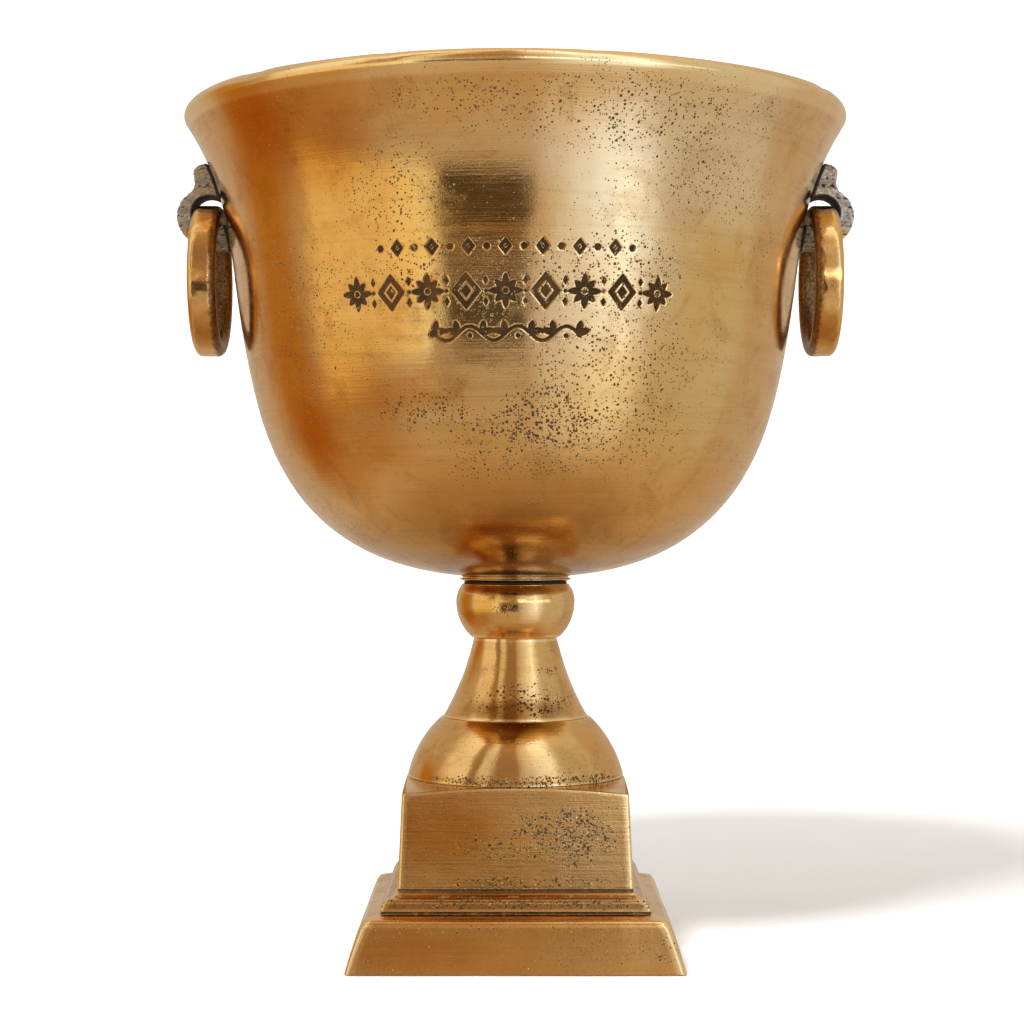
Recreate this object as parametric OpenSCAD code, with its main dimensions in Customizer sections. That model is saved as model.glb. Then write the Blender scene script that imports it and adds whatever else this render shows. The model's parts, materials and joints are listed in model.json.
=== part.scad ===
// Footed champagne cooler: a flared metal bowl with two swinging ring handles, standing on a
// turned stem and a stepped square plinth. One long tie rod clamps the bowl, the stem and the
// plinth together. Millimetres, +Z up. The origin is the centre of the base, on the floor.
// The two handles lie on the X axis, so the front is -Y.

/* [Plinth] */
// Width of the square base at the floor
base_w = 185.6; // [180:0.2:192]
// Height of the sloping bottom tier
tier_h = 28.4; // [26:0.2:31]
// Width of the bottom tier at its top
tier_top_w = 168.4; // [166:0.2:172]
// Width of the upper block at its foot
block_w = 130.6; // [128:0.2:134]
// Width of the upper block at its top
block_top_w = 125.8; // [123:0.2:127]
// Height of the seat that the stem stands on
plinth_h = 98; // [94:0.5:104]
// Thickness of the plinth's walls
plinth_wall = 4.5; // [4:0.5:6]
// Thickness of each felt pad under the base
pad_t = 2; // [1.5:0.1:3]

/* [Stem] */
// Diameter of the dome where it meets the plinth
dome_d = 124.6; // [120:0.2:125]
// Height of the dome
dome_h = 34.2; // [30:0.2:38]
// Diameter of the dome at its top
dome_top_d = 87; // [86:0.2:90]
// Diameter of the neck at its foot
neck_d = 83.6; // [82:0.2:85]
// Height of the neck
neck_h = 46.2; // [42:0.2:52]
// Diameter of the neck at its top
neck_top_d = 48; // [46:0.2:50]
// Largest diameter of the knob
knob_d = 68.8; // [66:0.2:72]
// Height of the knob
knob_h = 30.7; // [28:0.1:34]
// Thickness of the castings of the stem
stem_wall = 4; // [3:0.5:5]
// Thickness of the rubber gasket on top of the knob
gasket_t = 1.4; // [1:0.1:2]
// Diameter of the seat disc under the bowl
disc_d = 64.4; // [63:0.2:68]

/* [Bowl] */
// Outside diameter of the rim
rim_d = 380; // [374:1:386]
// Height of the bowl from its underside to the top of its rim
bowl_h = 269.5; // [264:0.5:276]
// Outside diameter where the belly turns into the side
belly_d = 295; // [290:1:300]
// Height of that turn above the bowl's underside
belly_h = 95.5; // [92:0.5:99]
// Thickness of the bowl's wall
bowl_wall = 3; // [2.5:0.5:4]
// Diameter of the rolled bead around the rim
bead_d = 11; // [10:0.5:12]

/* [Handles] */
// Outside diameter of each ring
ring_d = 87; // [84:1:90]
// Thickness of a ring, measured outwards from its centre
ring_t = 9.5; // [8.5:0.5:10]
// Width of a ring along its own axis
ring_w = 16; // [15:0.5:16]
// Distance of each hinge axis below the top of the rim
hinge_drop = 58; // [56:0.5:60]
// Width of each bracket
bracket_w = 18; // [16:0.5:18]

/* [Fasteners] */
// Diameter of the tie rod
rod_d = 10; // [8:1:10]
// Diameter of the bracket screws
screw_d = 5; // [4:0.5:5]

/* [Hidden] */
$fn = 96;

// Colours of the finishes
brass = [0.72, 0.52, 0.24];
dark_brass = [0.58, 0.42, 0.20];
antique_silver = [0.42, 0.39, 0.33];
steel = [0.70, 0.70, 0.71];
black_rubber = [0.06, 0.06, 0.06];
felt = [0.16, 0.15, 0.14];

// Working clearances
slip = 0.15;
eps = 0.01;

// Levels of the pieces that are stacked on the tie rod
plinth_z = 0.5;
dome_z = plinth_h;
neck_z = dome_z + dome_h;
knob_z = neck_z + neck_h;
gasket_z = knob_z + knob_h;
disc_z = gasket_z + gasket_t;
bowl_z = disc_z + 1;
rim_z = bowl_z + bowl_h;

// Spigots that centre each piece of the stem on the next
spigot_h = 2;
plinth_spigot_r = dome_d / 2 - stem_wall - 2;
dome_spigot_r = 35;
neck_spigot_r = 12;
knob_spigot_r = 15;
disc_spigot_r = disc_d / 2 - 1.4;
disc_t = 3;
rod_hole_r = rod_d / 2 + 0.5;

// Bowl: the floor pad that takes the clamping force, inside the bowl
floor_pad_r = 34;
floor_pad_t = 6;
floor_z = disc_z + disc_t + floor_pad_t;

// Hardware inside the plinth and inside the bowl
washer_t = 2;
base_washer_r = 15;
lock_washer_r = 9;
nut_af = 17;
nut_h = 8;
plinth_top_t = 7;
plinth_ceiling_z = plinth_h - plinth_top_t;
seal_t = 2;
cap_nut_z = floor_z + seal_t + washer_t;
rod_top_z = cap_nut_z + nut_h;
rod_bottom_z = plinth_ceiling_z - 2 * washer_t - nut_h - 3;

// Felt pads under the plinth's corners
pad_r = 8;
pad_inset = 15;
pad_boss_r = 11;

// ---------- Curves ----------

// A point at t = 0..1 on a cubic curve from a to d, with handles b and c
function cubic(p, t) =
    pow(1 - t, 3) * p[0] + 3 * pow(1 - t, 2) * t * p[1] + 3 * (1 - t) * t * t * p[2]
    + pow(t, 3) * p[3];

// The direction of travel of that curve, as a unit vector
function cubic_dir(p, t) =
    let (v = pow(1 - t, 2) * (p[1] - p[0]) + 2 * (1 - t) * t * (p[2] - p[1])
        + t * t * (p[3] - p[2]))
    v / norm(v);

// Points of a circular arc from a to b that stands out by rise on its right-hand side
function arc(a, b, rise, steps) =
    let (
        half = norm(b - a) / 2,
        r = (half * half + rise * rise) / (2 * abs(rise)),
        along = (b - a) / (2 * half),
        out = [along[1], -along[0]] * sign(rise),
        centre = (a + b) / 2 + (abs(rise) - r) * out,
        sweep = 2 * asin(half / r)
    )
    [for (i = [0:steps])
        let (angle = -sweep / 2 + sweep * i / steps)
        centre + r * (out * cos(angle) + along * sin(angle))];

// Points of an arc of radius r about c, from one angle to another
function turn(c, r, from, to, steps) =
    [for (i = [0:steps]) let (a = from + (to - from) * i / steps) c + r * [cos(a), sin(a)]];

// The unit vector that leans outwards from the vertical by an angle
function lean(angle) = [sin(angle), cos(angle)];

// ---------- Bowl outline, as [radius, height] ----------

// Lean of the wall from the vertical at the belly and at the lip, in degrees
belly_lean = 15.3;
lip_lean = 32.6;
// How far each end of a curve runs straight on before it bends away
floor_run = 42.5;
under_belly_run = 97;
over_belly_run = 78;
lip_run = 62.5;
bead_c = [rim_d / 2 - bead_d / 2, rim_z - bead_d / 2];
lip = bead_c + bead_d / 2 * [cos(lip_lean), -sin(lip_lean)];
belly = [belly_d / 2, bowl_z + belly_h];
lower_curve = [
    [0, bowl_z],
    [floor_run, bowl_z],
    belly - under_belly_run * lean(belly_lean),
    belly
];
upper_curve = [
    belly,
    belly + over_belly_run * lean(belly_lean),
    lip - lip_run * lean(lip_lean),
    lip
];
curve_steps = 20;

// The bowl's outer surface moved outwards by gap, or inwards when gap is negative
function shifted(curve, t, gap) =
    let (d = cubic_dir(curve, t))
    cubic(curve, t) + gap * [d[1], -d[0]];

// Points from the pole to a place on the upper curve, on that moved surface
function side_points(gap, last_t) = concat(
    [for (i = [0:curve_steps]) shifted(lower_curve, i / curve_steps, gap)],
    [for (i = [1:curve_steps]) shifted(upper_curve, last_t * i / curve_steps, gap)]
);

function reversed(list) = [for (i = [len(list) - 1:-1:0]) list[i]];

// The place on the upper curve that has a given height
function upper_t(z, low = 0, high = 1, tries = 20) =
    let (middle = (low + high) / 2)
    tries == 0 ? middle
    : cubic(upper_curve, middle)[1] < z ? upper_t(z, middle, high, tries - 1)
    : upper_t(z, low, middle, tries - 1);

// Moves children to the bowl's right side at height z, with their +Z along the outward normal
module on_wall(z) {
    t = upper_t(z);
    point = cubic(upper_curve, t);
    along = cubic_dir(upper_curve, t);
    translate([point[0], 0, point[1]])
        rotate([0, 90 + atan2(along[0], along[1]), 0])
            children();
}

// The space inside the bowl's outer surface beside the brackets, grown outwards by gap
module bowl_envelope(gap) {
    low_t = upper_t(hinge_z - 36);
    high_t = upper_t(hinge_z + 36);
    side = [for (i = [0:6]) shifted(upper_curve, low_t + (high_t - low_t) * i / 6, gap)];
    rotate_extrude()
        polygon(concat([[0, side[0][1]]], side, [[0, side[6][1]]]));
}

// ---------- Handles ----------

hinge_z = rim_z - hinge_drop;
hinge_standoff = 9;
hinge_x = cubic(upper_curve, upper_t(hinge_z))[0] + hinge_standoff;
ring_r = ring_d / 2;
ring_z = hinge_z - ring_r + ring_t / 2;
ring_corner = 4;
eye_r = 9.3;

// Screws that hold a bracket, at these heights on the wall
screw_heights = [hinge_z + 19.5, hinge_z - 16.5];
screw_engage = 8;
screw_head_r = 4.6;
screw_head_h = 2.8;
screw_slot_w = 1.2;
screw_slot_depth = 1.2;
screw_seal_r = 6;
screw_seal_t = 1;

// ---------- Plinth ----------

// A square form whose four sides all follow one outline, given as [half width, height]
module square_form(outline) {
    mirrored = [for (p = reversed(outline)) [-p[0], p[1]]];
    intersection_for(quarter = [0, 90])
        rotate([90, 0, quarter])
            linear_extrude(height = 2 * base_w, center = true)
                polygon(concat(outline, mirrored));
}

// Outline of the plinth: bottom tier, ledge, two mouldings and the upper block
module plinth_outside() {
    edge_r = 3;
    tier = tier_top_w / 2;
    mould = block_w / 2;
    square_form(concat(
        [[base_w / 2, plinth_z]],
        turn([tier - edge_r, tier_h - edge_r], edge_r, 17, 83, 5),
        [
            [mould + 9.7, tier_h + 1.6],
            [mould + 8.5, tier_h + 2.0],
            [mould + 8.5, tier_h + 2.8],
            [mould + 9.4, tier_h + 3.2],
            [mould + 7.4, tier_h + 8.1],
            [mould + 6.4, tier_h + 8.6]
        ],
        arc([mould + 6.4, tier_h + 9.4], [mould + 0.7, tier_h + 12.1], -0.6, 4),
        [
            [mould - 0.7, tier_h + 12.6],
            [mould - 0.7, tier_h + 13.4],
            [mould, tier_h + 13.9],
            [block_top_w / 2, plinth_h]
        ]
    ));
}

// Hollow under the plinth, one wall inside its outline
module plinth_hollow() {
    wall = plinth_wall;
    square_form([
        [base_w / 2 - wall, plinth_z - 1],
        [tier_top_w / 2 - wall, tier_h - wall],
        [block_w / 2 - wall, tier_h + wall],
        [block_top_w / 2 - wall, plinth_ceiling_z]
    ]);
}

// Places children at the four corners of the base
module at_corners() {
    corner = base_w / 2 - pad_inset;
    for (x = [-1, 1], y = [-1, 1])
        translate([x * corner, y * corner, 0])
            children();
}

module plinth() {
    crown_r = 550;
    crown_rise = 3.3;
    color(brass) {
        difference() {
            intersection() {
                plinth_outside();
                translate([0, 0, plinth_h + crown_rise - crown_r])
                    sphere(r = crown_r, $fn = 360);
            }
            difference() {
                plinth_hollow();
                at_corners()
                    cylinder(r = pad_boss_r, h = tier_h - plinth_wall);
            }
            cylinder(r = rod_hole_r, h = plinth_h + 1);
            at_corners()
                cylinder(r = pad_r + slip, h = pad_t + slip);
        }
        difference() {
            translate([0, 0, plinth_h - eps])
                cylinder(r = plinth_spigot_r, h = spigot_h + eps);
            cylinder(r = rod_hole_r, h = plinth_h + spigot_h + 1);
        }
    }
}

module foot_pads() {
    color(felt)
        at_corners()
            cylinder(r = pad_r, h = pad_t);
}

// ---------- Stem ----------

module dome() {
    top_z = neck_z;
    color(brass)
        difference() {
            union() {
                rotate_extrude()
                    polygon(concat(
                        [[0, dome_z], [dome_d / 2, dome_z]],
                        arc([dome_d / 2, dome_z + 0.4], [dome_top_d / 2, top_z], 2.9, 12),
                        [[0, top_z]]
                    ));
                translate([0, 0, top_z - eps])
                    cylinder(r = dome_spigot_r, h = spigot_h + eps);
            }
            rotate_extrude()
                polygon([
                    [0, dome_z - 1],
                    [plinth_spigot_r + slip, dome_z - 1],
                    [plinth_spigot_r + slip, dome_z + spigot_h + 1],
                    [dome_top_d / 2 - stem_wall, top_z - stem_wall - 1],
                    [0, top_z - stem_wall - 1]
                ]);
            cylinder(r = rod_hole_r, h = top_z + spigot_h + 1);
        }
}

module neck() {
    color(brass)
        difference() {
            union() {
                rotate_extrude()
                    polygon(concat(
                        [[0, neck_z]],
                        arc([neck_d / 2, neck_z], [neck_top_d / 2, knob_z], -2, 14),
                        [[0, knob_z]]
                    ));
                translate([0, 0, knob_z - eps])
                    cylinder(r = neck_spigot_r, h = spigot_h + eps);
            }
            rotate_extrude()
                polygon([
                    [0, neck_z - 1],
                    [dome_spigot_r + slip, neck_z - 1],
                    [dome_spigot_r + slip, neck_z + spigot_h + 1],
                    [neck_top_d / 2 - stem_wall - 3, knob_z - 6],
                    [0, knob_z - 6]
                ]);
            cylinder(r = rod_hole_r, h = knob_z + spigot_h + 1);
        }
}

module knob() {
    foot_r = 25.5;
    crown_r = 30.9;
    widest_z = knob_z + knob_h * 2 / 3;
    low = foot_r - knob_d / 2;
    low_h = widest_z - knob_z;
    low_r = (low * low + low_h * low_h) / (-2 * low);
    high = crown_r - knob_d / 2;
    high_h = gasket_z - widest_z;
    high_r = (high * high + high_h * high_h) / (-2 * high);
    color(brass)
        difference() {
            union() {
                rotate_extrude()
                    polygon(concat(
                        [[0, knob_z]],
                        turn([knob_d / 2 - low_r, widest_z], low_r, -asin(low_h / low_r), 0, 12),
                        turn([knob_d / 2 - high_r, widest_z], high_r, 6, asin(high_h / high_r), 7),
                        [[0, gasket_z]]
                    ));
                translate([0, 0, gasket_z - eps])
                    cylinder(r = knob_spigot_r, h = gasket_t + 1 + eps);
            }
            translate([0, 0, knob_z - 1])
                cylinder(r = neck_spigot_r + slip, h = spigot_h + 2);
            translate([0, 0, knob_z + 6])
                cylinder(r = foot_r - stem_wall, h = knob_h - 12);
            cylinder(r = rod_hole_r, h = disc_z + 2);
        }
}

module foot_gasket() {
    color(black_rubber)
        translate([0, 0, gasket_z])
            difference() {
                cylinder(r = 29.8, h = gasket_t);
                translate([0, 0, -1])
                    cylinder(r = knob_spigot_r + slip, h = gasket_t + 2);
            }
}

// Turned disc with a sharp flared rim. Its top sits in a flat turned into the bowl's underside.
module seat_disc() {
    rim_r = disc_d / 2;
    color(brass)
        difference() {
            rotate_extrude()
                polygon([
                    [0, disc_z],
                    [rim_r - 2.6, disc_z],
                    [rim_r, disc_z + 1.3],
                    [rim_r, disc_z + 1.6],
                    [disc_spigot_r, disc_z + 1.8],
                    [disc_spigot_r, disc_z + disc_t],
                    [0, disc_z + disc_t]
                ]);
            translate([0, 0, disc_z - 1])
                cylinder(r = knob_spigot_r + slip, h = 2 + slip);
            cylinder(r = rod_hole_r, h = disc_z + disc_t + 1);
        }
}

// ---------- Bowl ----------

module bowl() {
    outside = side_points(0, 1);
    bead = turn(bead_c, bead_d / 2, 6 - lip_lean, 212, 20);
    inside = reversed(side_points(-bowl_wall, 0.96));
    color(brass)
        difference() {
            union() {
                rotate_extrude()
                    polygon(concat(outside, bead, inside));
                translate([0, 0, bowl_z + bowl_wall / 2])
                    cylinder(r = floor_pad_r, h = floor_z - bowl_z - bowl_wall / 2);
            }
            translate([0, 0, bowl_z - 1])
                cylinder(r = disc_spigot_r + slip, h = disc_z + disc_t - bowl_z + 1);
            cylinder(r = rod_hole_r, h = floor_z + 1);
            for (side = [0, 1], z = screw_heights)
                mirror([side, 0, 0])
                    on_wall(z)
                        cylinder(r = screw_d / 2 + slip, h = 6 * bowl_wall, center = true);
        }
}

// ---------- Tie rod and its hardware ----------

module washer(z, outer_r, thick) {
    translate([0, 0, z])
        difference() {
            cylinder(r = outer_r, h = thick);
            translate([0, 0, -1])
                cylinder(r = rod_hole_r - 0.2, h = thick + 2);
        }
}

// Six-sided nut body with chamfered corners and a bore for the rod
module hex_nut(z, tall) {
    corner_r = nut_af / sqrt(3);
    translate([0, 0, z])
        difference() {
            intersection() {
                cylinder(r = corner_r, h = tall, $fn = 6);
                rotate_extrude()
                    polygon([
                        [0, 0],
                        [corner_r - 1, 0],
                        [corner_r, 1],
                        [corner_r, tall - 1],
                        [corner_r - 1, tall],
                        [0, tall]
                    ]);
            }
            translate([0, 0, -1])
                cylinder(r = rod_d / 2 + slip / 3, h = tall + 2);
        }
}

module tie_rod() {
    color(steel)
        translate([0, 0, rod_bottom_z])
            cylinder(d = rod_d, h = rod_top_z - rod_bottom_z);
}

module base_washer() {
    color(steel)
        washer(plinth_ceiling_z - washer_t, base_washer_r, washer_t);
}

// Split spring washer under the base nut
module lock_washer() {
    z = plinth_ceiling_z - 2 * washer_t;
    color(steel)
        difference() {
            washer(z, lock_washer_r, washer_t);
            translate([rod_d / 2, -0.6, z - 1])
                cube([lock_washer_r, 1.2, washer_t + 2]);
        }
}

module base_nut() {
    color(steel)
        hex_nut(plinth_ceiling_z - 2 * washer_t - nut_h, nut_h);
}

module bowl_seal() {
    color(black_rubber)
        washer(floor_z, base_washer_r, seal_t);
}

module bowl_washer() {
    color(dark_brass)
        washer(floor_z + seal_t, base_washer_r - 1, washer_t);
}

// Closed nut that covers the end of the rod inside the bowl
module cap_nut() {
    dome_r = nut_af / 2 - 0.7;
    color(dark_brass)
        difference() {
            union() {
                hex_nut(cap_nut_z, nut_h);
                translate([0, 0, cap_nut_z + nut_h - eps])
                    rotate_extrude()
                        polygon(concat(
                            turn([0, 1.5], dome_r, 0, 90, 10),
                            [[0, 0], [dome_r, 0]]
                        ));
            }
            translate([0, 0, cap_nut_z - 1])
                cylinder(r = rod_d / 2 + slip / 3, h = nut_h + 2);
        }
}

// ---------- Handles ----------

// Side view of a bracket, as [distance from the bowl's axis, height]: a leaf-shaped strap that
// stands out from the wall, curls down around the hinge and returns under it as a tongue
module bracket_side() {
    x = hinge_x;
    z = hinge_z;
    polygon(concat(
        [[x - 24, z + 26]],
        arc([x - 0.5, z + 28.6], [x + 9.4, z + 24.4], -2.6, 4),
        arc([x + 9.2, z + 23], [x + 9.6, z + 13], 0.7, 3),
        arc([x + 10.4, z + 12.4], [x + 12.4, z - 14.8], -7.2, 10),
        arc([x + 11.4, z - 15.4], [x + 2, z - 20.6], 1.4, 4),
        [[x - 24, z - 23.4]]
    ));
}

// Front view of a bracket: a leaf that is widest beside the hinge, as [across, height]
module bracket_front() {
    half = bracket_w / 2;
    z = hinge_z;
    right = concat(
        [[0, z - 24]],
        arc([4, z - 23.6], [half, z - 8], 2.2, 5),
        arc([half, z + 4], [half - 2.4, z + 17], 0.8, 4),
        arc([half - 0.8, z + 19], [4, z + 29.6], 1.6, 4),
        [[0, z + 30]]
    );
    left = [for (p = reversed(right)) [-p[0], p[1]]];
    polygon(concat(right, left));
}

// The opening that the ring passes through, which runs through to the bowl's wall
module bracket_eye() {
    slot_h = 1.5 * eye_r;
    translate([hinge_x, 0, hinge_z])
        rotate([90, 0, 0])
            linear_extrude(height = 3 * bracket_w, center = true) {
                circle(r = eye_r);
                translate([-1.6 * eye_r, -slot_h / 2])
                    square([eye_r, slot_h]);
            }
}

module bracket() {
    color(antique_silver)
        difference() {
            intersection() {
                rotate([90, 0, 0])
                    linear_extrude(height = 2 * bracket_w, center = true)
                        bracket_side();
                rotate([90, 0, 90])
                    linear_extrude(height = rim_d)
                        bracket_front();
            }
            bowl_envelope(slip);
            bracket_eye();
            for (z = screw_heights)
                on_wall(z)
                    translate([0, 0, -1])
                        cylinder(r = screw_d / 2 + slip / 3, h = screw_engage + 1.5);
        }
}

module ring() {
    inner = ring_r - ring_t;
    half_w = ring_w / 2;
    color(brass)
        translate([hinge_x, 0, ring_z])
            rotate([0, 90, 0])
                rotate_extrude($fn = 120) {
                    translate([inner, ring_corner - half_w])
                        square([ring_t, ring_w - 2 * ring_corner]);
                    translate([inner + ring_corner, -half_w])
                        square([ring_t - 2 * ring_corner, ring_w]);
                    for (x = [inner + ring_corner, ring_r - ring_corner], y = [-1, 1])
                        translate([x, y * (half_w - ring_corner)])
                            circle(r = ring_corner, $fn = 48);
                }
}

// Slotted round-headed screws through the wall, heads inside the bowl
module bracket_screws() {
    head_z = -bowl_wall - screw_seal_t;
    crown_z = head_z - screw_head_h;
    crown_h = 1.2;
    color(dark_brass)
        for (z = screw_heights)
            on_wall(z)
                difference() {
                    union() {
                        translate([0, 0, head_z - eps])
                            cylinder(d = screw_d, h = screw_engage - head_z);
                        translate([0, 0, crown_z])
                            cylinder(r1 = screw_head_r - crown_h, r2 = screw_head_r, h = crown_h);
                        translate([0, 0, crown_z + crown_h - eps])
                            cylinder(r = screw_head_r, h = screw_head_h - crown_h + eps);
                    }
                    translate([-screw_head_r - 1, -screw_slot_w / 2, crown_z - 1])
                        cube([2 * screw_head_r + 2, screw_slot_w, screw_slot_depth + 1]);
                }
}

// Rubber washers under the screw heads, which keep the bowl watertight
module screw_seals() {
    color(black_rubber)
        for (z = screw_heights)
            on_wall(z)
                translate([0, 0, -bowl_wall - screw_seal_t])
                    difference() {
                        cylinder(r = screw_seal_r, h = screw_seal_t - slip);
                        translate([0, 0, -1])
                            cylinder(r = screw_d / 2 + slip / 3, h = screw_seal_t + 2);
                    }
}

module right_bracket() bracket();
module left_bracket() mirror([1, 0, 0]) bracket();
module right_ring() ring();
module left_ring() mirror([1, 0, 0]) ring();
module right_screws() bracket_screws();
module left_screws() mirror([1, 0, 0]) bracket_screws();
module right_screw_seals() screw_seals();
module left_screw_seals() mirror([1, 0, 0]) screw_seals();

plinth();
foot_pads();
dome();
neck();
knob();
foot_gasket();
seat_disc();
bowl();
tie_rod();
base_washer();
lock_washer();
base_nut();
bowl_seal();
bowl_washer();
cap_nut();
left_bracket();
right_bracket();
left_ring();
right_ring();
left_screws();
right_screws();
left_screw_seals();
right_screw_seals();
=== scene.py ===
import json
import math
import bmesh
import bpy
import numpy as np
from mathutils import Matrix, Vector


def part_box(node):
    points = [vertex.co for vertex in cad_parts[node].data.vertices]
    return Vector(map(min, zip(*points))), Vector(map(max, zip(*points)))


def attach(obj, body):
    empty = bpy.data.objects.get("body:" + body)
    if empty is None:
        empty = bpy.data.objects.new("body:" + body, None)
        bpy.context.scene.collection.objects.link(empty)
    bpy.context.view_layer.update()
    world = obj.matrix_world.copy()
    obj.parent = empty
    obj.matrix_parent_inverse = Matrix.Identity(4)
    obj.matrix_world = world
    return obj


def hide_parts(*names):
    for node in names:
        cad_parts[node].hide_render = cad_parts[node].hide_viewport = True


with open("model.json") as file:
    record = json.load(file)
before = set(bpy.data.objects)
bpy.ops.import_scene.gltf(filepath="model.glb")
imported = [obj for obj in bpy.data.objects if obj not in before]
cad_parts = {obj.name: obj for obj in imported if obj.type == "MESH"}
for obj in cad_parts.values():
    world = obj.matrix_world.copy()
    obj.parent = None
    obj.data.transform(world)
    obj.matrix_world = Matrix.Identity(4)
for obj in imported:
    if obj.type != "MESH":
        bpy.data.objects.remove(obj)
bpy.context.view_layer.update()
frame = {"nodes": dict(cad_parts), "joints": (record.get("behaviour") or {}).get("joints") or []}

# All shapes below are worked out in millimetres and turned into metres when a mesh is made.
MM = 0.001


# ---------------------------------------------------------------- small maths

def low_high(node):
    lo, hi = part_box(node)
    return np.array(lo) / MM, np.array(hi) / MM


def cubic(a, b, c, d, steps):
    t = np.linspace(0, 1, steps)[:, None]
    a, b, c, d = (np.array(p, float) for p in (a, b, c, d))
    return (1 - t) ** 3 * a + 3 * (1 - t) ** 2 * t * b + 3 * (1 - t) * t * t * c + t ** 3 * d


def arc(a, b, rise, steps):
    """Points of a circular arc from a to b that stands out by rise on its right-hand side."""
    a, b = np.array(a, float), np.array(b, float)
    half = np.linalg.norm(b - a) / 2
    radius = (half * half + rise * rise) / (2 * abs(rise))
    along = (b - a) / (2 * half)
    out = np.array([along[1], -along[0]]) * np.sign(rise)
    centre = (a + b) / 2 + (abs(rise) - radius) * out
    sweep = 2 * math.asin(min(1, half / radius))
    angle = (np.linspace(-0.5, 0.5, steps) * sweep)[:, None]
    return centre + radius * (out * np.cos(angle) + along * np.sin(angle))


def turn(centre, radius, start, stop, steps):
    angle = np.radians(np.linspace(start, stop, steps))
    return np.array(centre) + radius * np.stack([np.cos(angle), np.sin(angle)], 1)


def line(a, b, steps):
    t = np.linspace(0, 1, steps)[:, None]
    return np.array(a, float) * (1 - t) + np.array(b, float) * t


def join(*parts):
    """Chains outlines and drops repeated points."""
    points = np.vstack([np.atleast_2d(np.array(p, float)) for p in parts])
    keep = [0]
    for i in range(1, len(points)):
        if np.hypot(*(points[i] - points[keep[-1]])) > 1e-3:
            keep.append(i)
    return points[keep]


def rounded(points, radius, steps=4):
    """Closed outline whose corners are rounded by about radius, where there is room."""
    out = []
    n = len(points)
    for i in range(n):
        before, here, after = points[i - 1], points[i], points[(i + 1) % n]
        u, v = before - here, after - here
        lu, lv = np.hypot(*u), np.hypot(*v)
        bend = math.degrees(math.acos(np.clip(-(u @ v) / (lu * lv), -1, 1)))
        r = min(radius, 0.45 * lu, 0.45 * lv)
        if bend < 12 or r < 0.02:
            out.append(here)
            continue
        a, b = here + u / lu * r, here + v / lv * r
        for t in np.linspace(0, 1, steps):
            out.append((1 - t) ** 2 * a + 2 * (1 - t) * t * here + t * t * b)
    return np.array(out)


def shape_signs(outline, reach):
    """For each point of a closed outline: how far it stands proud (rubbed edges, also lit up as a painted
    highlight) or lies in a nook (grime and painted shade).
    """
    after = np.roll(outline, -1, 0)
    step = np.hypot(*(after - outline).T)
    place = np.concatenate([[0], np.cumsum(step)[:-1]])
    total = step.sum()
    gap = np.abs(place[:, None] - place[None])
    gap = np.minimum(gap, total - gap)
    weight = np.exp(-((gap / reach) ** 2)) * (step + np.roll(step, 1))[None] / 2
    mean = weight @ outline / weight.sum(1)[:, None]
    tangent = np.roll(outline, -1, 0) - np.roll(outline, 1, 0)
    x, y = outline.T
    turning = np.sign(np.sum(x * np.roll(y, -1) - y * np.roll(x, -1)))
    normal = np.stack([tangent[:, 1], -tangent[:, 0]], 1) * turning
    normal /= np.maximum(np.hypot(*normal.T), 1e-9)[:, None]
    proud = ((outline - mean) * normal).sum(1) / reach
    return np.clip(proud * 5, 0, 1), np.clip(-proud * 5, 0, 1)


def waves(points, seed, wavelength, octaves=3):
    """Smooth seeded noise in -1..1, built from plane waves in random directions."""
    rng = np.random.default_rng(seed)
    total = np.zeros(len(points))
    size = 0
    for octave in range(octaves):
        scale = 2 ** octave / wavelength
        for _ in range(5):
            direction = rng.normal(size=3)
            direction /= np.linalg.norm(direction)
            total += np.sin(points @ direction * scale * 2 * math.pi + rng.uniform(0, 6.28)) / 2 ** octave
        size += 2.2 / 2 ** octave
    return total / size


# ---------------------------------------------------------------- meshes

def make_object(name, points, faces, attributes=None, smooth=True):
    mesh = bpy.data.meshes.new(name)
    mesh.from_pydata((points * MM).tolist(), [], faces)
    mesh.validate()
    if smooth:
        mesh.shade_smooth()
    for key, values in (attributes or {}).items():
        layer = mesh.attributes.new(key, "FLOAT", "POINT")
        layer.data.foreach_set("value", np.asarray(values, np.float32))
    obj = bpy.data.objects.new(name, mesh)
    bpy.context.scene.collection.objects.link(obj)
    return obj


def vectors(items, key):
    """A vector property of all vertices, as rows."""
    values = np.zeros(len(items) * 3)
    items.foreach_get(key, values)
    return values.reshape(-1, 3)


def grid_faces(rows, columns, close_rows=True):
    """Quads of a grid that is closed along its columns, and along its rows if asked."""
    i = np.arange(rows if close_rows else rows - 1)[:, None]
    j = np.arange(columns)[None]
    i2, j2 = (i + 1) % rows, (j + 1) % columns
    quad = np.stack([i * columns + j, i * columns + j2, i2 * columns + j2, i2 * columns + j], -1)
    return quad.reshape(-1, 4)


def lathe_points(outline, columns):
    angle = np.arange(columns) * 2 * math.pi / columns
    r, z = outline[:, 0][:, None], outline[:, 1][:, None]
    return np.stack([r * np.cos(angle), r * np.sin(angle), z + 0 * angle], -1).reshape(-1, 3)


def counter_clockwise(outline):
    x, y = outline.T
    area = np.sum(x * np.roll(y, -1) - y * np.roll(x, -1))
    return outline if area > 0 else outline[::-1]


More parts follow.
